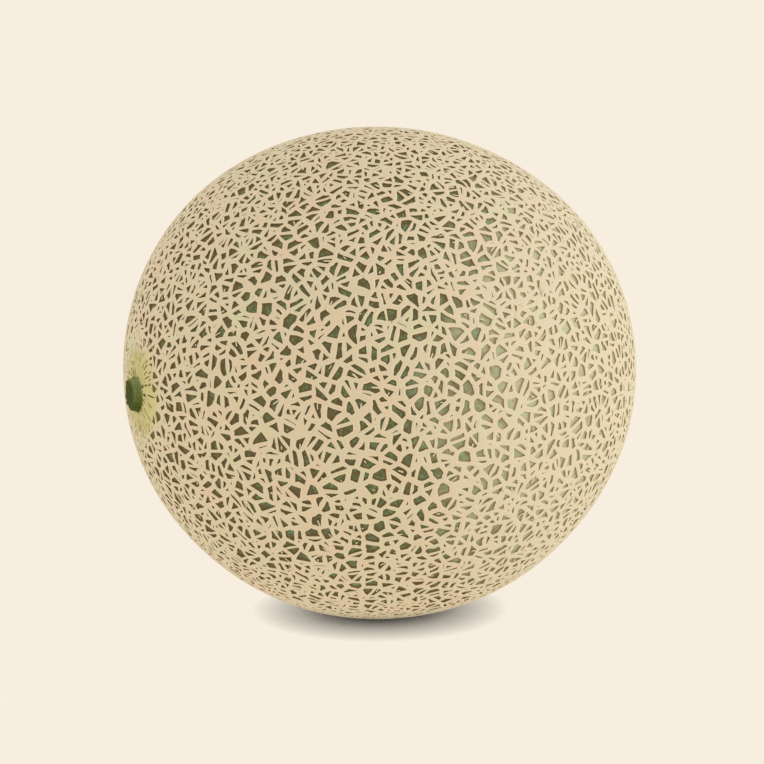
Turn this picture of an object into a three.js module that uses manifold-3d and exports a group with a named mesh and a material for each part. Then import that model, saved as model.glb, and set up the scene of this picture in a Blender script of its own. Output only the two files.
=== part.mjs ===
import * as THREE from 'three';
import { mergeVertices } from 'three/addons/utils/BufferGeometryUtils.js';
import Module from 'manifold-3d';

// A whole netted cantaloupe melon, lying on its side on a small flattened spot of its rind.
// Millimetres, +Z up. The fruit's long axis runs along X, with the stem end at -X and the
// blossom end at +X. The origin is on the ground under the middle of the whole thing.

// Driving dimensions
const FRUIT_LENGTH = 159;        // stem end to blossom end
const FRUIT_DIAMETER = 153;      // across the middle, before the resting spot is taken off
const OUTLINE_POWER = 2.05;      // 2 is an ellipse, and more is squarer at the shoulders
const REST_SPOT_RADIUS = 10;     // the flattened patch of rind that it lies on
const STEM_SEAT_DEPTH = 0.9;     // the shallow hollow that the stem grows from
const STEM_SEAT_RADIUS = 12;
const BLOSSOM_SCAR_DEPTH = 0.7;  // the round scar where the flower dropped off
const BLOSSOM_SCAR_RADIUS = 7;
const STEM_RADIUS = 5.0;         // the stub of the stem, cut short
const STEM_LENGTH = 2.8;         // from its seat to the cut
const STEM_FLARE = 0.9;          // how much it widens where it meets the fruit
const STEM_CUT_ROUNDING = 0.5;   // the softened rim of the cut end
const SEAT_GAP = 0.3;            // clearance between the stub and the fruit

// Facets
const ROUND_STEPS = 64;          // around the fruit
const OUTLINE_STEPS = 48;        // from end to end
const END_CROWDING = 0.6;        // 0 spaces the outline evenly, and 1 crowds it at both ends
const STEM_ROUND_STEPS = 32;
const STEM_SIDE_STEPS = 5;

const wasm = await Module();
wasm.setup();

// A smooth round hollow: its depth at a distance from its middle.
function hollow(depth, radius, distance) {
  return depth * Math.exp(-((distance / radius) ** 2) * 2);
}

// A power that keeps its base's sign, for the outline of a squarish round.
function signedPower(base, power) {
  return Math.sign(base) * Math.abs(base) ** power;
}

// One point of the fruit's outline. The turn runs from 0 at the stem end to PI at the blossom
// end. x of the result is the distance from the axis and y the place along it.
function outlinePoint(turn) {
  const radius = (FRUIT_DIAMETER / 2) * signedPower(Math.sin(turn), 2 / OUTLINE_POWER);
  const along = (-FRUIT_LENGTH / 2) * signedPower(Math.cos(turn), 2 / OUTLINE_POWER);
  const dent = hollow(STEM_SEAT_DEPTH, STEM_SEAT_RADIUS, radius);
  const scar = hollow(BLOSSOM_SCAR_DEPTH, BLOSSOM_SCAR_RADIUS, radius);
  return new THREE.Vector2(radius, along < 0 ? along + dent : along - scar);
}

// The place along the axis of the fruit's stem end, at a distance from the axis.
function stemEndAlong(distance) {
  const share = (2 * distance) / FRUIT_DIAMETER;
  const along = (-FRUIT_LENGTH / 2) * (1 - share ** OUTLINE_POWER) ** (1 / OUTLINE_POWER);
  return along + hollow(STEM_SEAT_DEPTH, STEM_SEAT_RADIUS, distance);
}

// Turns a profile round the long axis, and lays that axis along X.
function turned(profile, steps) {
  const geometry = new THREE.LatheGeometry(profile, steps);
  geometry.rotateZ(-Math.PI / 2);
  geometry.deleteAttribute('normal');
  geometry.deleteAttribute('uv');
  return mergeVertices(geometry, 1e-4);
}

// Three.js geometry to a solid and back.
function solidOf(geometry) {
  const mesh = new wasm.Mesh({
    numProp: 3,
    vertProperties: new Float32Array(geometry.attributes.position.array),
    triVerts: new Uint32Array(geometry.index.array),
  });
  return new wasm.Manifold(mesh);
}

function geometryOf(solid) {
  const mesh = solid.getMesh();
  const geometry = new THREE.BufferGeometry();
  geometry.setAttribute('position', new THREE.BufferAttribute(mesh.vertProperties, 3));
  geometry.setIndex(new THREE.BufferAttribute(mesh.triVerts, 1));
  geometry.computeVertexNormals();
  return geometry;
}

// How far the resting spot lies below the fruit's axis: the depth at which a level cut through
// the round underside is as wide as the spot.
const SPOT_DROP = Math.sqrt((FRUIT_DIAMETER / 2) ** 2 - REST_SPOT_RADIUS ** 2);

// The fruit: one turned solid, cut level underneath where its rind flattened as it lay.
function makeFruit() {
  const profile = [];
  for (let step = 0; step <= OUTLINE_STEPS; step += 1) {
    const share = step / OUTLINE_STEPS;
    const crowding = (END_CROWDING * Math.sin(2 * Math.PI * share)) / (2 * Math.PI);
    profile.push(outlinePoint(Math.PI * (share - crowding)));
  }
  profile[0].x = 0;
  profile[OUTLINE_STEPS].x = 0;
  const whole = turned(profile, ROUND_STEPS);
  const below = new THREE.BoxGeometry(FRUIT_LENGTH, FRUIT_DIAMETER, FRUIT_DIAMETER);
  below.translate(0, 0, -SPOT_DROP - FRUIT_DIAMETER / 2);
  below.deleteAttribute('normal');
  below.deleteAttribute('uv');
  const fruit = solidOf(whole).subtract(solidOf(mergeVertices(below, 1e-4)));
  const material = new THREE.MeshStandardMaterial({ color: '#cdb893', roughness: 0.75, metalness: 0 });
  const mesh = new THREE.Mesh(geometryOf(fruit), material);
  mesh.name = 'melon';
  mesh.position.z = SPOT_DROP;
  return mesh;
}

// The stem: a short round stub that widens onto its seat and ends in a level cut.
function makeStem() {
  const profile = [];
  const base = STEM_RADIUS + STEM_FLARE;
  for (let step = 0; step <= STEM_SIDE_STEPS; step += 1) {
    const radius = (base * step) / STEM_SIDE_STEPS;
    profile.push(new THREE.Vector2(radius, stemEndAlong(radius) - SEAT_GAP));
  }
  const seat = stemEndAlong(0) - SEAT_GAP;
  for (let step = 1; step <= STEM_SIDE_STEPS; step += 1) {
    const share = step / STEM_SIDE_STEPS;
    const rise = profile[STEM_SIDE_STEPS].y * (1 - share) + (seat - STEM_LENGTH + STEM_CUT_ROUNDING) * share;
    profile.push(new THREE.Vector2(STEM_RADIUS + STEM_FLARE * (1 - share) ** 2, rise));
  }
  profile.push(new THREE.Vector2(STEM_RADIUS - STEM_CUT_ROUNDING, seat - STEM_LENGTH));
  profile.push(new THREE.Vector2(0, seat - STEM_LENGTH));
  profile.reverse();
  const material = new THREE.MeshStandardMaterial({ color: '#66733f', roughness: 0.8, metalness: 0 });
  const mesh = new THREE.Mesh(turned(profile, STEM_ROUND_STEPS), material);
  mesh.name = 'stem_stub';
  mesh.position.z = SPOT_DROP;
  return mesh;
}

const melon = new THREE.Group();
melon.add(makeFruit(), makeStem());

// The stub makes the whole thing longer at one end, so it is slid along to sit over the origin.
const extent = new THREE.Box3().setFromObject(melon);
melon.position.x = -(extent.min.x + extent.max.x) / 2;

export default melon;
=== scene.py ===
import math
import random

import bmesh
import bpy
import numpy
from mathutils import Matrix, Vector, noise


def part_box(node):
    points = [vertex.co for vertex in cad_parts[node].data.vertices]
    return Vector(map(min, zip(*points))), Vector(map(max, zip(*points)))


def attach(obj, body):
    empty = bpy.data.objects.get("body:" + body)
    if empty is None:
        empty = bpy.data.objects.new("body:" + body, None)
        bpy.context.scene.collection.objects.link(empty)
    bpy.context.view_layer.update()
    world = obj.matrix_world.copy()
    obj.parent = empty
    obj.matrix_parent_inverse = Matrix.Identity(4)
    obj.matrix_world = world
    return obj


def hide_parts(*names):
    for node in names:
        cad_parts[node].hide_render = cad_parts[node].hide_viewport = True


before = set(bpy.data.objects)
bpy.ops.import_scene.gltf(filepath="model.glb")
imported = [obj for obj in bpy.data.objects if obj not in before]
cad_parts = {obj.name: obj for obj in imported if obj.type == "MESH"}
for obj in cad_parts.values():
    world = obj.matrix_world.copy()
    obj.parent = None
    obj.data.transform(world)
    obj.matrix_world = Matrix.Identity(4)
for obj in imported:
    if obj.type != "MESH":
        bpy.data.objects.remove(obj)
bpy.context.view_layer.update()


# ---------------------------------------------------------------------------------------------
# The camera: a long lens a little above the fruit, turned so that the stem end comes forward. It
# is placed from the fruit's own middle, which its box in the frame gives.

MM = 0.001
END_LOSS = 0.6              # mm that the hollow at an end of the fruit takes off its half length
CAMERA_AZIMUTH = math.radians(-20)
CAMERA_ELEVATION = math.radians(12)
CAMERA_DISTANCE = 1.32      # m
LENS = 200                  # mm
AIM_RIGHT = 0.5             # mm that the camera aims to the right of the fruit's middle
AIM_BELOW = 3.0             # mm that it aims below it

low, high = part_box("melon")
fruit_half_length = (high.x - low.x) / 2 + END_LOSS * MM
fruit_half_width = (high.y - low.y) / 2
fruit_middle = Vector(((low.x + high.x) / 2, 0, high.z - fruit_half_width))


def seen_from(azimuth, elevation):
    """The direction from the fruit to a place round it. The azimuth is 0 at -Y and grows towards +X."""
    level = math.cos(elevation)
    return Vector((math.sin(azimuth) * level, -math.cos(azimuth) * level, math.sin(elevation)))


def aimed(obj, place, target):
    """Puts a camera or a light at a place, looking at a target with its top upwards."""
    bpy.context.scene.collection.objects.link(obj)
    turned = (target - place).to_track_quat("-Z", "Y").to_matrix().to_4x4()
    obj.matrix_world = Matrix.Translation(place) @ turned


camera = bpy.data.objects.new("camera", bpy.data.cameras.new("camera"))
camera.data.lens = LENS
to_camera = seen_from(CAMERA_AZIMUTH, CAMERA_ELEVATION)
camera_right = Vector((math.cos(CAMERA_AZIMUTH), math.sin(CAMERA_AZIMUTH), 0))
aim = fruit_middle + camera_right * AIM_RIGHT * MM + Vector((0, 0, -AIM_BELOW * MM))
aimed(camera, aim + to_camera * CAMERA_DISTANCE, aim)
bpy.context.scene.camera = camera


# ---------------------------------------------------------------------------------------------
# The studio: soft light from all round, and one broad softbox low on the right. The ground is a
# pale sheet that curves up into a wall and glows evenly, as if lit from behind, with a painted shadow close
# under the fruit.

WORLD_STRENGTH = 0.96
SOFTBOX_AZIMUTH = CAMERA_AZIMUTH + math.radians(84)
SOFTBOX_ELEVATION = math.radians(14)
SOFTBOX_DISTANCE = 0.9      # m from the fruit's middle
SOFTBOX_WIDTH = 0.28        # m
SOFTBOX_POWER = 1.5         # W
SHEET_RADIUS = 4            # m, of its level part
WALL_CURVE = 1.5            # m, the radius of the bend from the ground into the wall
WALL_TURN = math.radians(80)        # from level to the slope at its top
WALL_STEPS = 8
# The fruit's shadow on the sheet is painted: the glow is dimmed by how much the fruit fills the space just
# above it.
SHADE_REACH = 0.009         # m from the sheet within which the fruit shades it
SHADE_POWER = 0.5           # less than 1, so that the shade is faint but for where they meet


def linear(colour):
    """An sRGB hex colour as the linear one that a shader takes."""
    parts = [int(colour[place:place + 2], 16) / 255 for place in (1, 3, 5)]
    return [part / 12.92 if part <= 0.04045 else ((part + 0.055) / 1.055) ** 2.4 for part in parts] + [1]


def add_node(tree, kind, settings=None, **inputs):
    """Adds a node with its settings, and for a colour ramp its stops: the position and colour of
    each. An input is a value, or another node's output to link. It goes by its name, or by its
    number where that isn't enough: a colour mix takes its share as _0 and its colours as _6 and _7,
    and gives output 2."""
    node = tree.nodes.new(kind)
    settings = dict(settings or {})
    stops = settings.pop("stops", ())
    for position, _ in stops[1:-1]:
        node.color_ramp.elements.new(position)
    for number, (position, colour) in enumerate(stops):
        node.color_ramp.elements[number].position = position
        node.color_ramp.elements[number].color = linear(colour)
    for name, value in settings.items():
        setattr(node, name, value)
    for name, value in inputs.items():
        socket = node.inputs[int(name[1:])] if name[0] == "_" else node.inputs[name.replace("_", " ")]
        if isinstance(value, bpy.types.NodeSocket):
            tree.links.new(value, socket)
        else:
            socket.default_value = value
    return node


world = bpy.data.worlds.new("studio")
world.use_nodes = True
world.node_tree.nodes["Background"].inputs["Color"].default_value = linear("#f7f2ea")
world.node_tree.nodes["Background"].inputs["Strength"].default_value = WORLD_STRENGTH
bpy.context.scene.world = world
bpy.context.scene.view_settings.view_transform = "Standard"

softbox = bpy.data.objects.new("softbox", bpy.data.lights.new("softbox", "AREA"))
softbox.data.shape = "DISK"
softbox.data.size = SOFTBOX_WIDTH
softbox.data.energy = SOFTBOX_POWER
to_softbox = seen_from(SOFTBOX_AZIMUTH, SOFTBOX_ELEVATION)
aimed(softbox, fruit_middle + to_softbox * SOFTBOX_DISTANCE, fruit_middle)

sweep_mesh = bmesh.new()
bmesh.ops.create_circle(sweep_mesh, cap_ends=True, segments=96, radius=SHEET_RADIUS)
rim = [edge for edge in sweep_mesh.edges if edge.is_boundary]
for step in range(1, WALL_STEPS + 1):
    turn = WALL_TURN * step / WALL_STEPS
    extruded = bmesh.ops.extrude_edge_only(sweep_mesh, edges=rim)["geom"]
    rim = [part for part in extruded if isinstance(part, bmesh.types.BMEdge)]
    for vert in {vert for edge in rim for vert in edge.verts}:
        vert.co = vert.co.xy.normalized().to_3d() * (SHEET_RADIUS + WALL_CURVE * math.sin(turn))
        vert.co.z = WALL_CURVE * (1 - math.cos(turn))
sweep = bpy.data.objects.new("sweep", bpy.data.meshes.new("sweep"))
sweep_mesh.to_mesh(sweep.data)
sweep_mesh.free()
sweep.data.shade_smooth()
bpy.context.scene.collection.objects.link(sweep)

# White paper lit from behind: one even glow, but for a painted shadow close to what stands on it.
sheet = bpy.data.materials.new("backlit paper sheet")
sheet.use_nodes = True
tree = sheet.node_tree
openness = add_node(tree, "ShaderNodeAmbientOcclusion", {"samples": 8}, Distance=SHADE_REACH)
# Painted shadow: the glow is darkened where the fruit is near, not shaded by any lamp.
painted_shadow = add_node(tree, "ShaderNodeMath", {"operation": "POWER"}, _0=openness.outputs["AO"],
                 _1=SHADE_POWER)
glow = add_node(tree, "ShaderNodeEmission", None, Color=linear("#f7eedf"), Strength=painted_shadow.outputs[0])
tree.links.new(glow.outputs[0], tree.nodes["Material Output"].inputs["Surface"])
sweep.data.materials.append(sheet)


# ---------------------------------------------------------------------------------------------
# The rind: the smooth waxy skin of the fruit, which shows as the floor of each cell of the net.
# It grew as one closed round, a little squarer than an egg, and flattened where it lay.

SQUARENESS = 2.05           # the power of the outline, where 2 is an ellipse
NET_HEIGHT = 0.6            # mm that the netting stands above the rind
REST_HEIGHT = 0.3           # mm that the rind is held off the ground by the netting under it
STEM_HOLLOW = (0.9, 12)     # mm deep and mm in radius, where the stem grows from
BLOSSOM_HOLLOW = (0.7, 7)   # mm deep and mm in radius, where the flower dropped off
RIND_SUBDIVISIONS = 7

# The ways in which it isn't quite round: direction, mm high, and breadth as a share of its radius.
SWELLS = (
    (Vector((-0.66, 0.24, 0.71)), 0.9, 0.45),
    (Vector((-0.89, 0.38, 0.25)), 0.4, 0.40),
    (Vector((0.53, 0.0, 0.85)), -1.0, 0.45),
    (Vector((0.70, -0.32, -0.64)), -1.1, 0.45),
    (Vector((-0.71, 0.10, -0.70)), -0.8, 0.40),
    (Vector((0.5, 0.8, 0.2)), 0.8, 0.6),
    (Vector((-0.3, 0.9, -0.3)), -0.7, 0.5),
)


def hollow(shape, distance):
    """How deep a round hollow is, in mm, at a distance in mm from its middle. It fades out smoothly,
    and has about a seventh of its depth left at its radius."""
    depth, radius = shape
    return depth * math.exp(-2 * (distance / radius) ** 2)


def on_fruit(direction, height):
    """The place that many mm above the rind in a unit direction from the fruit's middle. The top of
    the netting is where the frame's fruit has its surface, and nothing goes below the ground."""
    across = math.hypot(direction.y, direction.z)
    along = abs(direction.x) / fruit_half_length
    reach = (along ** SQUARENESS + (across / fruit_half_width) ** SQUARENESS) ** (-1 / SQUARENESS)
    rise = height - NET_HEIGHT
    for toward, swell, breadth in SWELLS:
        rise += swell * math.exp(-(direction - toward).length_squared / breadth ** 2)
    from_axis = across * reach / MM
    rise -= hollow(STEM_HOLLOW if direction.x < 0 else BLOSSOM_HOLLOW, from_axis)
    place = fruit_middle + direction * (reach + rise * MM)
    lowest = REST_HEIGHT * (1 - height / NET_HEIGHT) * MM
    place.z = max(place.z, lowest)
    return place


def finished(mesh, name, node):
    """Makes a bmesh a piece of the object, smooth and riding on its one body, and hides the node that it
    takes the place of.
    """
    piece = bpy.data.objects.new(name, bpy.data.meshes.new(name))
    mesh.to_mesh(piece.data)
    mesh.free()
    bpy.context.scene.collection.objects.link(piece)
    piece.data.shade_smooth()
    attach(piece, "root")
    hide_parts(node)
    return piece


rind_mesh = bmesh.new()
bmesh.ops.create_icosphere(rind_mesh, subdivisions=RIND_SUBDIVISIONS, radius=1)
for vert in rind_mesh.verts:
    vert.co = on_fruit(vert.co.normalized(), 0)
rind = finished(rind_mesh, "rind", "melon")

# Living skin under a thin wax: smooth and a little glossy, and mottled with fine flecks. It is dark green to
# olive, partly where the sun and the cork have aged it and partly painted shade deep in the narrow cells, and
# pale sage towards the blossom end, on the side that faces the softbox, partly its own paler colour and
# partly painted light.

# The pale side faces the softbox: partly paler skin, partly painted light.
PALE_LIT_SIDE = Vector((0.80, -0.60, 0.0))      # the direction in which the skin pales
PALE_FROM = 0.051           # m that way, with its edge's wander added, at which it starts to pale
PALE_TO = 0.087             # m, the same, at which it is all pale
PALE_WANDER = 0.05          # m that the edge of the pale side wanders at the most
PALE_RAGS = 9.09            # mm, the size of the bends in that edge
FRESH_OFFSET = 3.5          # mm towards -Y from the stem end to the middle of the fresh cork there
FRESH_FROM = 0.013          # m from that middle, with its edge's wander added, within which all is fresh
FRESH_TO = 0.020            # m, the same, past which none is
FRESH_WANDER = 0.006        # m that the edge of the fresh cork wanders at the most
FRESH_RAGS = 3.846          # mm, the size of the bends in that edge
PATCH_SIZE = 5.882          # mm, a cell or two of the net wide, so that cells differ in tone
FLECK_SIZE = 1.111          # mm
FLECK_WEIGHT = 1.7          # how much the flecks show against the patches
TONE_DROP = 0.60            # taken off their sum, to bring it to the middle of the colour ramps


def fruit_place(tree):
    """The place on the fruit in metres from its middle."""
    place = add_node(tree, "ShaderNodeTexCoord").outputs["Object"]
    return add_node(tree, "ShaderNodeVectorMath", {"operation": "SUBTRACT"}, _0=place,
                    _1=fruit_middle).outputs[0]


def pale_lit_side(tree, place):
    """0 on the dark green side of the fruit and 1 on the pale side, with a ragged edge. The pale side faces
    the softbox: it stands partly for paler skin and partly for painted light, and the dark side partly for
    painted shade.
    """
    side = add_node(tree, "ShaderNodeVectorMath", {"operation": "DOT_PRODUCT"}, _0=place, _1=PALE_LIT_SIDE)
    edge = add_node(tree, "ShaderNodeTexNoise", None, Vector=place, Scale=1 / (PALE_RAGS * MM), Detail=3.0,
                    Roughness=0.6)
    ragged = add_node(tree, "ShaderNodeMath", {"operation": "MULTIPLY_ADD"}, _0=edge.outputs["Fac"],
                      _1=PALE_WANDER, _2=side.outputs["Value"])
    return add_node(tree, "ShaderNodeMapRange", {"interpolation_type": "SMOOTHSTEP"}, Value=ragged.outputs[0],
                    From_Min=PALE_FROM, From_Max=PALE_TO).outputs[0]


def freshness(tree, place):
    """1 round the stem, where the cork is still fresh, and 0 over the rest, with a ragged edge."""
    end = Vector((-fruit_half_length, -FRESH_OFFSET * MM, 0))
    distance = add_node(tree, "ShaderNodeVectorMath", {"operation": "DISTANCE"}, _0=place, _1=end)
    edge = add_node(tree, "ShaderNodeTexNoise", None, Vector=place, Scale=1 / (FRESH_RAGS * MM), Detail=3.0)
    ragged = add_node(tree, "ShaderNodeMath", {"operation": "MULTIPLY_ADD"}, _0=edge.outputs["Fac"],
                      _1=FRESH_WANDER, _2=distance.outputs["Value"])
    return add_node(tree, "ShaderNodeMapRange", {"interpolation_type": "SMOOTHSTEP"}, Value=ragged.outputs[0],
                    From_Min=FRESH_FROM, From_Max=FRESH_TO, To_Min=1.0, To_Max=0.0).outputs[0]


skin = bpy.data.materials.new("waxy melon skin")
skin.use_nodes = True
tree = skin.node_tree
shader = tree.nodes["Principled BSDF"]
shader.inputs["Roughness"].default_value = 0.42
shader.inputs["IOR"].default_value = 1.45
place = fruit_place(tree)
pale = pale_lit_side(tree, place)
patches = add_node(tree, "ShaderNodeTexNoise", None, Vector=place, Scale=1 / (PATCH_SIZE * MM), Detail=4.0,
                   Roughness=0.65)
flecks = add_node(tree, "ShaderNodeTexNoise", None, Vector=place, Scale=1 / (FLECK_SIZE * MM), Detail=3.0,
                  Roughness=0.7)
mottling = add_node(tree, "ShaderNodeMath", {"operation": "MULTIPLY_ADD"}, _0=flecks.outputs["Fac"],
                    _1=FLECK_WEIGHT, _2=patches.outputs["Fac"])
# The skin turns browner over the 50 mm or so nearest to the stem, the end away from the softbox: partly its
# own colour, partly painted shade.
along = add_node(tree, "ShaderNodeSeparateXYZ", None, Vector=place)
browning = add_node(tree, "ShaderNodeMapRange", None, Value=along.outputs["X"], From_Min=-0.07,
                    From_Max=-0.02, To_Min=-0.17, To_Max=0.0)
browned = add_node(tree, "ShaderNodeMath", {"operation": "ADD"}, _0=mottling.outputs[0],
                   _1=browning.outputs[0])
tone = add_node(tree, "ShaderNodeMath", {"operation": "SUBTRACT"}, _0=browned.outputs[0], _1=TONE_DROP)
# Dark skin, partly its own colour and partly painted shade in the narrow cells; pale skin, partly its own
# colour and partly painted light from the softbox.
dark_shaded_stops = ((0.51, "#5f532d"), (0.66, "#6a6138"), (0.75, "#576b3f"), (0.92, "#738d61"))
dark_shaded_skin = add_node(tree, "ShaderNodeValToRGB", {"stops": dark_shaded_stops}, Fac=tone.outputs[0])
pale_lit_stops = ((0.51, "#b3a981"), (0.67, "#cbc59f"), (0.77, "#c4c6a1"), (0.93, "#b7c5a4"))
pale_lit_skin = add_node(tree, "ShaderNodeValToRGB", {"stops": pale_lit_stops}, Fac=tone.outputs[0])
sides = add_node(tree, "ShaderNodeMix", {"data_type": "RGBA"}, _0=pale, _6=dark_shaded_skin.outputs[0],
                 _7=pale_lit_skin.outputs[0])
colour = add_node(tree, "ShaderNodeMix", {"data_type": "RGBA"}, _0=freshness(tree, place),
                  _6=sides.outputs[2], _7=linear("#827b41"))
dents = add_node(tree, "ShaderNodeBump", None, Strength=0.4, Distance=0.1 * MM, Height=flecks.outputs["Fac"])
tree.links.new(colour.outputs[2], shader.inputs["Base Color"])
tree.links.new(dents.outputs[0], shader.inputs["Normal"])
rind.data.materials.append(skin)


# ---------------------------------------------------------------------------------------------
# The netting: cork that welled up where the young rind cracked as it swelled, crack after crack.
# So the big cells form first and split into small ones, and each later crack ends on an older one.

ROUND = 77                  # mm, the radius of the sphere that the net is laid out on
GORES = 8                   # lengthwise pieces that the net is handled in
FIRST_SUBDIVISIONS = 5      # of the even round of triangles that the first cells are laid out on
FIRST_JITTER = 0.8          # mm that the middles of the first cells are off that even round
CORNER_JITTER = 0.42        # mm that their corners are off
HAIR = 0.001                # mm, an inset that only adds a ring of faces, to be moved after

chance = random.Random(11)
noise.seed_set(11)
net = bmesh.new()


def nudged(place, amount):
    """A place on the round, moved by about that many mm along it."""
    return (place + Vector([chance.gauss(0, amount) for _ in range(3)])).normalized() * ROUND


bmesh.ops.create_icosphere(net, subdivisions=FIRST_SUBDIVISIONS, radius=ROUND)
for vert in net.verts:
    vert.co = nudged(vert.co, FIRST_JITTER)

# Each corner of the triangles becomes the middle of a cell.
first_edges = net.edges[:]
first_verts = net.verts[:]
bmesh.ops.poke(net, faces=net.faces[:])
bmesh.ops.rotate_edges(net, edges=first_edges)
bmesh.ops.dissolve_verts(net, verts=first_verts)
for vert in net.verts:
    vert.co = nudged(vert.co, CORNER_JITTER)
old_crack = net.edges.layers.int.new("old_crack")
for edge in net.edges:
    edge[old_crack] = 1

STEM_END = Vector((-1, 0, 0))
WIDE_FLANK = Vector((0.15, 0.98, 0.1)).normalized()
NEAR_STEM = 0.19            # radians from the stem in which the net is fine and combed outwards
BLOSSOM_SCAR = 0.055        # radians from the other end in which the cork is one smooth round scar
STEM_CELL = 3.4             # mm2, the area of a usual cell near the stem
PLAIN_CELL = 8.3            # mm2, elsewhere
FLANK_EXTRA = 6             # mm2 more on the wide flanks
FLANK_REACH = 0.9           # radians over which that fades out
NEAR_CORNER = 0.12          # of a side's length, within which a crack ends on its corner instead
CRACK_AT = 1.45             # times the usual area, at which a cell cracks
CRACK_SPREAD = (0.5, 1.5)   # how far that varies
NARROWEST = 2.5             # mm, the breadth under which a cell no longer cracks
STEM_NARROWEST = 1.4        # mm, the same near the stem
CRACK_TURN = 0.45           # radians that a crack is off the cell's short way, usually
STEM_CRACK_TURN = 0.15      # radians that it is off running out from the stem, near the stem
CRACK_OFFSET = 0.2          # how far it is off the middle, of the way to the farthest corner
TRY_AGAIN_AT = 1.8          # times the usual area, at which a cell that didn't crack is tried again


def cell_area(direction):
    """The area in mm2 of a usual cell there: wide on the flanks, fine above, below and at the ends."""
    if direction.angle(STEM_END) < NEAR_STEM:
        return STEM_CELL
    flank = math.acos(min(1, abs(direction.dot(WIDE_FLANK))))
    return PLAIN_CELL + FLANK_EXTRA * math.exp(-(flank / FLANK_REACH) ** 2)


def crack(face, point, normal):
    """Splits a cell in two along the plane through a point, and returns both, or nothing."""
    corners = face.verts[:]
    sides = [(corner.co - point).dot(normal) for corner in corners]
    ends = []
    for edge in face.edges[:]:
        start, end = edge.verts
        here, there = (start.co - point).dot(normal), (end.co - point).dot(normal)
        if here * there >= 0:
            continue
        share = here / (here - there)
        if share < NEAR_CORNER:
            ends.append(start)
        elif share > 1 - NEAR_CORNER:
            ends.append(end)
        else:
            ends.append(bmesh.utils.edge_split(edge, start, share)[1])
    if len(ends) != 2 or ends[0] is ends[1] or net.edges.get(ends):
        return []
    other = bmesh.utils.face_split(face, ends[0], ends[1])[0]
    return [face, other] if other else []


# Cells crack across their long way until they are small enough. Near the stem they crack along the
# lines that run out from it.
uncracked = net.faces[:]
while uncracked:
    face = uncracked.pop()
    middle = face.calc_center_median()
    up = middle.normalized()
    area = face.calc_area()
    near_stem = up.angle(STEM_END) < NEAR_STEM
    breadth = 4 * area / sum(edge.calc_length() for edge in face.edges)
    small = area < CRACK_AT * cell_area(up) * chance.uniform(*CRACK_SPREAD)
    if small or breadth < (STEM_NARROWEST if near_stem else NARROWEST):
        continue
    farthest = max(face.verts, key=lambda vert: (vert.co - middle).length_squared).co - middle
    if near_stem:
        normal = up.cross(STEM_END).normalized()
        spread = STEM_CRACK_TURN
    else:
        normal = farthest.normalized()
        spread = CRACK_TURN
    normal = Matrix.Rotation(chance.gauss(0, spread), 3, up) @ normal
    point = middle + normal * farthest.length * chance.gauss(0, CRACK_OFFSET)
    uncracked += crack(face, point, normal) or [face] * (area > TRY_AGAIN_AT * cell_area(up))

OLD_HALF_WIDTH = 0.72       # mm, half the width of a strand on an old crack
NEW_HALF_WIDTH = 0.61       # mm, half the width of a strand on a later one
WIDTH_SPREAD = (0.65, 1.25)     # how far either width varies from strand to strand
STEM_FINENESS = 0.46        # a strand's width near the stem, of its width elsewhere
BROAD_CELL = 14             # mm2, the usual area of a cell where the strands have their full width
FINENESS_POWER = 0.42       # how fast strands narrow as cells get smaller

# Each strand gets its width, and a corner half way along it where it can bend.
half_width = net.edges.layers.float.new("half_width")
for edge in net.edges:
    up = (edge.verts[0].co + edge.verts[1].co).normalized()
    base = OLD_HALF_WIDTH if edge[old_crack] else NEW_HALF_WIDTH
    if up.angle(STEM_END) < NEAR_STEM:
        fineness = STEM_FINENESS
    else:
        fineness = (cell_area(up) / BROAD_CELL) ** FINENESS_POWER
    edge[half_width] = base * fineness * chance.uniform(*WIDTH_SPREAD)
for edge in net.edges[:]:
    bmesh.utils.edge_split(edge, edge.verts[0], 0.5)

BEYOND = 20                 # mm, farther from its middle than any cell reaches
NARROWEST_HOLE = 0.16       # mm, half the breadth under which a cell is closed by its strands
NEARLY_STRAIGHT = 0.25      # the sine of the turn under which two sides count as one line


def clipped(outline, inward, least):
    """An outline without what lies less than a distance inwards along a direction."""
    kept = []
    for here, there in zip(outline, outline[1:] + outline[:1]):
        depth, next_depth = here.dot(inward) - least, there.dot(inward) - least
        if depth >= 0:
            kept.append(here)
        if depth * next_depth < 0:
            kept.append(here.lerp(there, depth / (depth - next_depth)))
    return kept


def nearest(outline, point):
    """The point that is nearest to a given one, of all those in an outline with no inward bends."""
    best = point
    best_distance = math.inf
    inside = True
    for here, there in zip(outline, outline[1:] + outline[:1]):
        run = there - here
        if run.length_squared < 1e-10:      # mm2: two corners at one place
            continue
        if run.cross(point - here) < 0:
            inside = False
        share = min(1, max(0, (point - here).dot(run) / run.length_squared))
        candidate = here + run * share
        distance = (candidate - point).length_squared
        if distance < best_distance:
            best, best_distance = candidate, distance
    return point if inside else best


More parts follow.
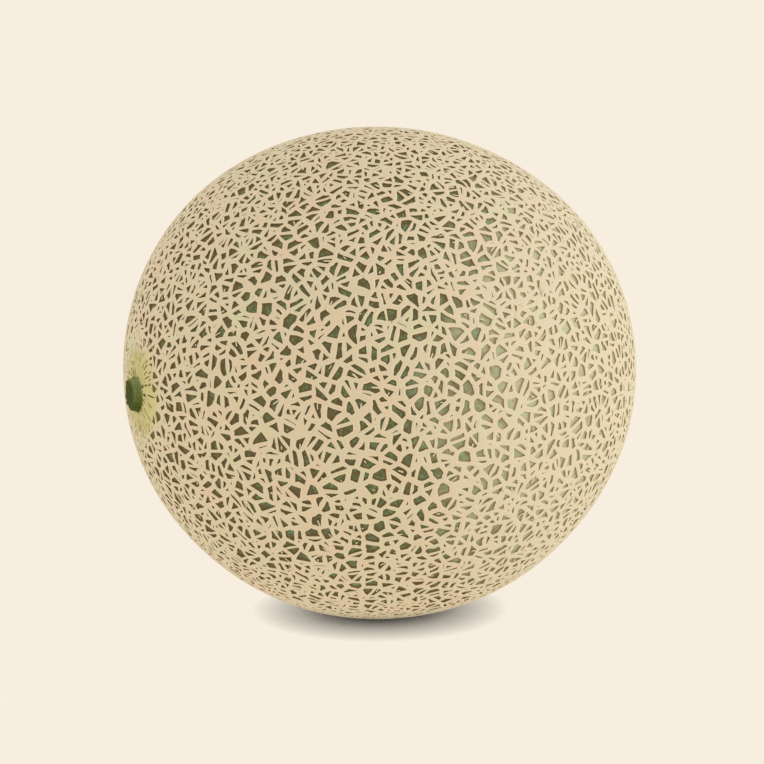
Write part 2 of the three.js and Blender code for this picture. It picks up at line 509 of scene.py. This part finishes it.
def cell_hole(face, half_width):
    """Where each corner of a cell goes when its strands are drawn in, or None if they close it."""
    middle = face.calc_center_median()
    up = middle.normalized()
    if up.angle(STEM_END) > math.pi - BLOSSOM_SCAR:
        return None
    right = up.orthogonal().normalized()
    ahead = up.cross(right)
    loops = face.loops[:]
    corners = [Vector(((loop.vert.co - middle).dot(right), (loop.vert.co - middle).dot(ahead)))
               for loop in loops]
    count = len(corners)
    inwards, widths = [], []
    outline = [Vector((x * BEYOND, y * BEYOND)) for x, y in ((-1, -1), (1, -1), (1, 1), (-1, 1))]
    for number in range(count):
        run = corners[(number + 1) % count] - corners[number]
        inward = Vector((-run.y, run.x)).normalized()
        inwards.append(inward)
        widths.append(loops[number].edge[half_width])
        outline = clipped(outline, inward, corners[number].dot(inward) + widths[number])
        if len(outline) < 3:
            return None
    rim = sum((a - b).length for a, b in zip(outline, outline[1:] + outline[:1]))
    area = sum(a.cross(b) for a, b in zip(outline, outline[1:] + outline[:1])) / 2
    if rim < 1e-6 or 2 * area / rim < NARROWEST_HOLE:
        return None
    places = []
    for number in range(count):
        first, second = inwards[number - 1], inwards[number]
        turn = first.cross(second)
        if abs(turn) < NEARLY_STRAIGHT:
            inward = (first + second).normalized()
            drawn = corners[number] + inward * (widths[number - 1] + widths[number]) / 2
        else:
            a = corners[number].dot(first) + widths[number - 1]
            b = corners[number].dot(second) + widths[number]
            drawn = Vector(((a * second.y - b * first.y) / turn, (b * first.x - a * second.x) / turn))
        places.append(nearest(outline, drawn))
    centre = sum(outline, Vector((0, 0))) / len(outline)
    to_sphere = [middle + right * spot.x + ahead * spot.y for spot in places + [centre]]
    return dict(zip([loop.vert for loop in loops], to_sphere[:-1])), to_sphere[-1]


def gore_of(direction):
    """Which lengthwise piece of the net a direction belongs to."""
    return int((math.atan2(direction.z, direction.y) / math.tau + 1) * GORES + 0.5) % GORES


WANDER = 0.40               # mm that the strands wander from straight
WANDER_BENDS = ((0.45, 1), (1.1, 0.6), (2.4, 0.25))     # bends to a mm, and how much they show


def wandered(place):
    """A place on top of the netting, moved a little as cracks wander from straight."""
    wander = Vector()
    for bends, weight in WANDER_BENDS:
        wander += noise.noise_vector(place * bends) * weight
    return (place + wander * WANDER).normalized() * (ROUND + NET_HEIGHT)


# The slopes from a hole's rim down to the rind, and from the rind up to the top of a stray piece:
# for each step, the mm that the outline is drawn in, and its share of the net's height.
HOLE_STEPS = ((0, 0.96), (0.05, 0.90), (0.06, 0.68), (0.10, 0.18), (0.30, 0.04))
STRAY_STEPS = ((0, -0.2), (0.09, 0.60), (0.08, 0.86))
MOST_DRAWN = 0.3            # of the way to the middle that a corner is drawn in, in one step


def sloped(mesh, middles, steps):
    """Takes faces in steps down or up a slope. Each step draws them in towards their middles by
    some mm, and puts them at a share of the net's height."""
    for draw, height in steps:
        if draw:
            bmesh.ops.inset_individual(mesh, faces=list(middles), thickness=HAIR)
        for face, middle in middles.items():
            for vert in face.verts:
                inward = middle.normalized() * vert.co.length - vert.co
                vert.co += inward.normalized() * min(draw, inward.length * MOST_DRAWN)
                vert.co = vert.co.normalized() * (ROUND + NET_HEIGHT * height)


STRAY_CELL = 4              # mm2, the area over which a cell may hold a stray piece of cork
STRAY_SHARE = 0.16          # the share of those cells that do
STRAY_REACH = (0.7, 1.35)   # how far it goes, of the way from a side to the middle
ALONE_SHARE = 0.25          # the share of strays that stand clear of the side
STRAY_HALF_WIDTH = (0.26, 0.42)     # mm
STRAY_TIP = 0.25            # mm that its rounded ends add
STRAY_SIDES = 8


def stray_cork(part, face, middle):
    """A strand that stops short inside a cell, or a fleck of cork that stands alone in it."""
    side = chance.choice(face.edges[:])
    foot = (side.verts[0].co + side.verts[1].co) / 2
    tip = foot.lerp(middle, chance.uniform(*STRAY_REACH))
    if chance.random() < ALONE_SHARE:
        foot = foot.lerp(tip, 0.5)
    ahead = (tip - foot).normalized()
    aside = middle.normalized().cross(ahead) * chance.uniform(*STRAY_HALF_WIDTH)
    ahead *= (tip - foot).length / 2 + STRAY_TIP
    turns = [math.tau * step / STRAY_SIDES for step in range(STRAY_SIDES)]
    corners = [(foot + tip) / 2 + ahead * math.cos(turn) + aside * math.sin(turn) for turn in turns]
    return part.faces.new([part.verts.new(corner) for corner in corners])


HALF_WIDE = 0.45            # of the layout's width, where a half is at its broadest
HALF_TALL = 1.88            # of the layout's height, for the half turn from one end to the other
LAYOUT_MARGIN = 0.02        # of its height, left free below the ends


def unroll(mesh, middle_turn):
    """Lays a lengthwise piece out flat, as a map that its surface can be baked on.
    It is two halves side by side, each with its end of the fruit at the bottom."""
    places = numpy.empty((len(mesh.vertices), 3), numpy.float32)
    mesh.vertices.foreach_get("co", places.ravel())
    places -= numpy.array(fruit_middle, numpy.float32)
    turn = (numpy.arctan2(places[:, 2], places[:, 1]) - middle_turn + math.pi) % math.tau - math.pi
    from_stem = numpy.arctan2(numpy.hypot(places[:, 1], places[:, 2]), -places[:, 0])
    corners = numpy.empty(len(mesh.loops), numpy.int32)
    mesh.loops.foreach_get("vertex_index", corners)
    sizes = numpy.empty(len(mesh.polygons), numpy.int32)
    mesh.polygons.foreach_get("loop_total", sizes)
    centres = numpy.empty((len(mesh.polygons), 3), numpy.float32)
    mesh.polygons.foreach_get("center", centres.ravel())
    half = numpy.repeat(centres[:, 0] > fruit_middle.x, sizes)
    from_end = numpy.where(half, math.pi - from_stem[corners], from_stem[corners])
    across = 0.25 + 0.5 * half + turn[corners] * numpy.sin(from_end) * GORES / math.tau * HALF_WIDE
    spots = numpy.stack((across, LAYOUT_MARGIN + from_end / math.pi * HALF_TALL), axis=1)
    mesh.uv_layers.new(name="OFBake").data.foreach_set("uv", spots.astype(numpy.float32).ravel())


SAME_CORNER = 0.1           # mm within which the drawn-in corners of a cell become one

# Each lengthwise piece is cut from the whole net. Its holes are opened between the strands, their
# walls are sloped down, stray pieces are added, and then it is laid on the fruit.
gores = []
for number in range(GORES):
    part = net.copy()
    half_width = part.edges.layers.float["half_width"]
    hole_middle = part.faces.layers.float_vector.new("hole_middle")
    relief = part.verts.layers.float.new("relief")
    blossomward = part.verts.layers.float.new("blossomward")
    others = [face for face in part.faces if gore_of(face.calc_center_median()) != number]
    bmesh.ops.delete(part, geom=others, context="FACES")
    shapes = {face: cell_hole(face, half_width) for face in part.faces}
    holes = [face for face in shapes if shapes[face]]
    bmesh.ops.inset_individual(part, faces=holes, thickness=HAIR)
    inner = []
    for face in holes:
        places, face[hole_middle] = shapes[face]
        for vert in face.verts:
            outer = next(edge.other_vert(vert) for edge in vert.link_edges if edge.other_vert(vert) in places)
            vert.co = places[outer]
            inner.append(vert)
    bmesh.ops.remove_doubles(part, verts=inner, dist=SAME_CORNER)
    for vert in part.verts:
        vert.co = wandered(vert.co)
    middles = {face: wandered(face[hole_middle]) for face in part.faces if face[hole_middle].length}
    strays = {}
    for face, middle in middles.items():
        if face.calc_area() > STRAY_CELL and chance.random() < STRAY_SHARE:
            strays[stray_cork(part, face, middle)] = middle
    strays = {stray: stray.calc_center_median() for stray in strays}
    sloped(part, strays, STRAY_STEPS)
    sloped(part, middles, HOLE_STEPS)
    bmesh.ops.delete(part, geom=list(middles), context="FACES_ONLY")
    part.normal_update()
    for vert in part.verts:
        height = vert.co.length - ROUND
        up = vert.co.normalized()
        vert[blossomward] = (vert.normal - up * vert.normal.dot(up)).x
        vert[relief] = height / NET_HEIGHT
        vert.co = on_fruit(up, height)
    gore = finished(part, f"netting_{number + 1}", "melon")
    unroll(gore.data, number / GORES * math.tau)
    gores.append(gore)
net.free()

# Dry cork, matt and finely grained: cream to peach on top, with a painted highlight along its lips, and brown
# on the
# sides of the cracks, with a thin brown crust that runs out onto the skin. That brown darkens towards the
# foot of the cracks:
# partly the cork's own brown, partly painted shade. On the pale side, which faces the softbox, the tops are
# painted lighter, and only the walls that face the stem, away from the softbox, are browner: painted shade.
# By the stem it is fresh and yellow-green.

CLOUD_SIZE = 12.5           # mm, the width of a cloud of one tint
GRAIN_SIZE = 0.7692         # mm, coarser than the real grain, which would be too fine to show
GRAIN_WEIGHT = 0.3          # how much the grain shows against the clouds
RAG_SIZE = 0.5263           # mm, the size of the bends where the top meets the brown sides
RAG_HEIGHT = 0.36           # of the net's height that this edge wanders at the most
# The tops' paling on the pale side is painted light from the softbox.
LIT_PALING = 0.5                # how much of the pale tint the cork takes on the pale side

cork = bpy.data.materials.new("melon cork")
cork.use_nodes = True
tree = cork.node_tree
shader = tree.nodes["Principled BSDF"]
shader.inputs["Roughness"].default_value = 0.82
place = fruit_place(tree)
pale = pale_lit_side(tree, place)
height = add_node(tree, "ShaderNodeAttribute", {"attribute_name": "relief"}).outputs["Fac"]

# The top, from cream to peach.
clouds = add_node(tree, "ShaderNodeTexNoise", None, Vector=place, Scale=1 / (CLOUD_SIZE * MM), Detail=5.0,
                  Roughness=0.66)
grain = add_node(tree, "ShaderNodeTexNoise", None, Vector=place, Scale=1 / (GRAIN_SIZE * MM), Detail=3.0,
                 Roughness=0.7)
tone = add_node(tree, "ShaderNodeMath", {"operation": "MULTIPLY_ADD"}, _0=grain.outputs["Fac"],
                _1=GRAIN_WEIGHT, _2=clouds.outputs["Fac"])
top_stops = ((0.46, "#d9d4ae"), (0.58, "#dfd2b2"), (0.70, "#e2d0b2"), (0.82, "#e5ccae"), (1, "#e7c3a8"))
top = add_node(tree, "ShaderNodeValToRGB", {"stops": top_stops}, Fac=tone.outputs[0])
# Painted light: on the pale side, which faces the softbox, the tops are painted lighter.
lit_paling = add_node(tree, "ShaderNodeMath", {"operation": "MULTIPLY"}, _0=pale, _1=LIT_PALING)
lit_paled = add_node(tree, "ShaderNodeMix", {"data_type": "RGBA"}, _0=lit_paling.outputs[0], _6=top.outputs[0],
                 _7=linear("#e2d8c1"))
# Painted highlight: the rounded lip of each strand is painted lighter, where it catches the light.
lip_highlight = add_node(tree, "ShaderNodeMapRange", {"interpolation_type": "SMOOTHSTEP"}, Value=height, From_Min=0.99,
               From_Max=0.96, To_Min=0.0, To_Max=0.6)
lip_lit = add_node(tree, "ShaderNodeMix", {"data_type": "RGBA"}, _0=lip_highlight.outputs[0], _6=lit_paled.outputs[2],
                  _7=linear("#e7e1c1"))

# The sides of the cracks, from the crust at their foot to their flanks, darker towards the foot: partly brown
# cork, partly painted shade deep in the cracks.
facing = add_node(tree, "ShaderNodeAttribute", {"attribute_name": "blossomward"}).outputs["Fac"]
# Walls on the dark side: brown cork, painted darker towards the foot as shade deep in the cracks.
brown_and_shaded_walls = add_node(tree, "ShaderNodeValToRGB", {"stops": ((0.20, "#735e2f"), (0.45, "#806338"))},
                     Fac=height)
shaded_wall = add_node(tree, "ShaderNodeValToRGB", {"stops": ((0.20, "#b3a97f"), (0.45, "#82693c"))},
                      Fac=height)
# Painted shade: on the pale side a wall that faces the stem, away from the softbox, is painted brown, and one
# that faces the blossom end is painted as lit.
toward = add_node(tree, "ShaderNodeMapRange", None, Value=facing, From_Min=-0.35, From_Max=0.1)
lit_and_shaded_walls = add_node(tree, "ShaderNodeMix", {"data_type": "RGBA"}, _0=toward.outputs[0],
                     _6=shaded_wall.outputs[0], _7=linear("#d2c9a2"))
flanks = add_node(tree, "ShaderNodeMix", {"data_type": "RGBA"}, _0=pale, _6=brown_and_shaded_walls.outputs[0],
                  _7=lit_and_shaded_walls.outputs[2])

# The top meets the sides in a ragged edge, and both are tinted where they are fresh.
rags = add_node(tree, "ShaderNodeTexNoise", None, Vector=place, Scale=1 / (RAG_SIZE * MM), Detail=2.0)
ragged = add_node(tree, "ShaderNodeMath", {"operation": "MULTIPLY_ADD"}, _0=rags.outputs["Fac"],
                  _1=RAG_HEIGHT, _2=height)
share = add_node(tree, "ShaderNodeMapRange", {"interpolation_type": "SMOOTHSTEP"}, Value=ragged.outputs[0],
                 From_Min=0.78, From_Max=1.06)
dry = add_node(tree, "ShaderNodeMix", {"data_type": "RGBA"}, _0=share.outputs[0], _6=flanks.outputs[2],
               _7=lip_lit.outputs[2])
fresh = add_node(tree, "ShaderNodeMix", {"data_type": "RGBA"}, _0=share.outputs[0], _6=linear("#80793d"),
                 _7=linear("#d4cb8e"))
colour = add_node(tree, "ShaderNodeMix", {"data_type": "RGBA"}, _0=freshness(tree, place),
                  _6=dry.outputs[2], _7=fresh.outputs[2])
pits = add_node(tree, "ShaderNodeBump", None, Strength=0.5, Distance=0.12 * MM, Height=grain.outputs["Fac"])
tree.links.new(colour.outputs[2], shader.inputs["Base Color"])
tree.links.new(pits.outputs[0], shader.inputs["Normal"])

for gore in gores:
    gore.data.materials.append(cork)


# ---------------------------------------------------------------------------------------------
# The stem: the green stub left when the melon was cut from its vine. It is soft fibrous tissue,
# ribbed lengthwise, and spreads at its foot into the rind that it grew with.

STEM_RINGS = (              # mm from the axis, and mm above the rind, from the foot to the cut
    (6.8, -0.3), (6.0, 0.3), (5.4, 0.7), (5.1, 1.2), (4.9, 1.8), (4.8, 2.4), (4.6, 2.9), (4.2, 3.1),
    (3.4, 3.0), (2.3, 2.8), (1.2, 2.7))
STEM_SIDES = 60
STEM_RIBS = 5
RIB_HEIGHT = 0.09           # of the stem's radius
FOOT_FROM = 4.9             # mm from the axis, past which its foot spreads
FOOT_WIDTH = 3              # mm over which it does
FRINGE = 0.24               # how far the foot runs out along the ribs, of its radius
SAG = 0.9                   # mm that the stem sits below the fruit's axis
RAGGEDNESS = 5              # how many bends the foot and the cut have for each radian round them
CUT_FROM = 2                # mm above the rind, past which the stem is uneven from the knife
CUT_UNEVENNESS = 0.25       # mm
CUT_RADIUS = 4.6            # mm from the axis, within which it is the cut end
CUT_EDGE = 0.6              # mm over which its side turns into that

stem_mesh = bmesh.new()
fibre = stem_mesh.verts.layers.float_vector.new("fibre")
cut = stem_mesh.verts.layers.float.new("cut")
bmesh.ops.create_circle(stem_mesh, cap_ends=True, segments=STEM_SIDES, radius=1)
stem_mesh.faces.ensure_lookup_table()
cap = stem_mesh.faces[0]
for number, (radius, height) in enumerate(STEM_RINGS):
    if number:
        bmesh.ops.inset_individual(stem_mesh, faces=[cap], thickness=HAIR)
    spread = max(0, (radius - FOOT_FROM) / FOOT_WIDTH)
    for side, vert in enumerate(cap.verts):
        angle = math.tau * side / STEM_SIDES
        # Each broad rib has three fine ones across it.
        rib = math.cos(STEM_RIBS * angle + 0.6) + 0.5 * math.cos(3 * STEM_RIBS * angle + 1.9)
        ragged = noise.noise(Vector((math.cos(angle), math.sin(angle), 0.3)) * RAGGEDNESS)
        reach = radius * (1 + RIB_HEIGHT * rib * 0.5 + FRINGE * spread * (rib * 0.25 + ragged))
        toward = Vector((-fruit_half_length / MM, -reach * math.cos(angle), reach * math.sin(angle) - SAG))
        uneven = CUT_UNEVENNESS * ragged * (height > CUT_FROM)
        vert.co = on_fruit(toward.normalized(), height + uneven)
        # The fibres run lengthwise, so their pattern changes fast round the stem and slowly along it.
        vert[fibre] = (math.cos(angle), math.sin(angle), height * 0.12 + reach * 0.05)
        vert[cut] = min(1, max(0, (CUT_RADIUS - radius) / CUT_EDGE))
foot = [edge for edge in stem_mesh.edges if edge.is_boundary]
bmesh.ops.holes_fill(stem_mesh, edges=foot)
bmesh.ops.recalc_face_normals(stem_mesh, faces=stem_mesh.faces[:])
stem = finished(stem_mesh, "stem", "stem_stub")
rounding = stem.modifiers.new("rounding", "SUBSURF")
rounding.levels = rounding.render_levels = 2

# Fresh stem tissue: matt, with fibres along it, grey-green on its upper side and dark olive below,
# and darker still on the cut end, which is painted shade.

FIBRES = 14.0               # for each radian round the stem, so about a third of a mm apart
PALER_WAY = (0, -40, 75)    # towards its paler side, and how much paler to a metre
# The cut end is painted darker: painted shade.
CUT_END_SHADE = 0.45             # how much darker the cut end is

green = bpy.data.materials.new("fresh melon stem")
green.use_nodes = True
tree = green.node_tree
shader = tree.nodes["Principled BSDF"]
shader.inputs["Roughness"].default_value = 0.75
shader.inputs["Specular IOR Level"].default_value = 0.2
place = fruit_place(tree)
strand = add_node(tree, "ShaderNodeAttribute", {"attribute_name": "fibre"}).outputs["Vector"]
end = add_node(tree, "ShaderNodeAttribute", {"attribute_name": "cut"}).outputs["Fac"]
streak = add_node(tree, "ShaderNodeTexNoise", None, Vector=strand, Scale=FIBRES, Detail=4.0, Roughness=0.6)
upness = add_node(tree, "ShaderNodeVectorMath", {"operation": "DOT_PRODUCT"}, _0=place, _1=PALER_WAY)
# The cut end's darkening here is painted shade.
upness_and_end_shade = add_node(tree, "ShaderNodeMath", {"operation": "MULTIPLY_ADD"}, _0=end, _1=-CUT_END_SHADE,
                _2=upness.outputs["Value"])
level = add_node(tree, "ShaderNodeMath", {"operation": "ADD"}, _0=streak.outputs["Fac"], _1=upness_and_end_shade.outputs[0])
tint = add_node(tree, "ShaderNodeMapRange", None, Value=level.outputs[0], From_Min=0.15, From_Max=0.95)
green_stops = ((0, "#474f17"), (0.45, "#596526"), (1, "#87955f"))
tissue = add_node(tree, "ShaderNodeValToRGB", {"stops": green_stops}, Fac=tint.outputs[0])
ridges = add_node(tree, "ShaderNodeBump", None, Strength=0.7, Distance=0.3 * MM, Height=streak.outputs["Fac"])
tree.links.new(tissue.outputs[0], shader.inputs["Base Color"])
tree.links.new(ridges.outputs[0], shader.inputs["Normal"])
stem.data.materials.append(green)
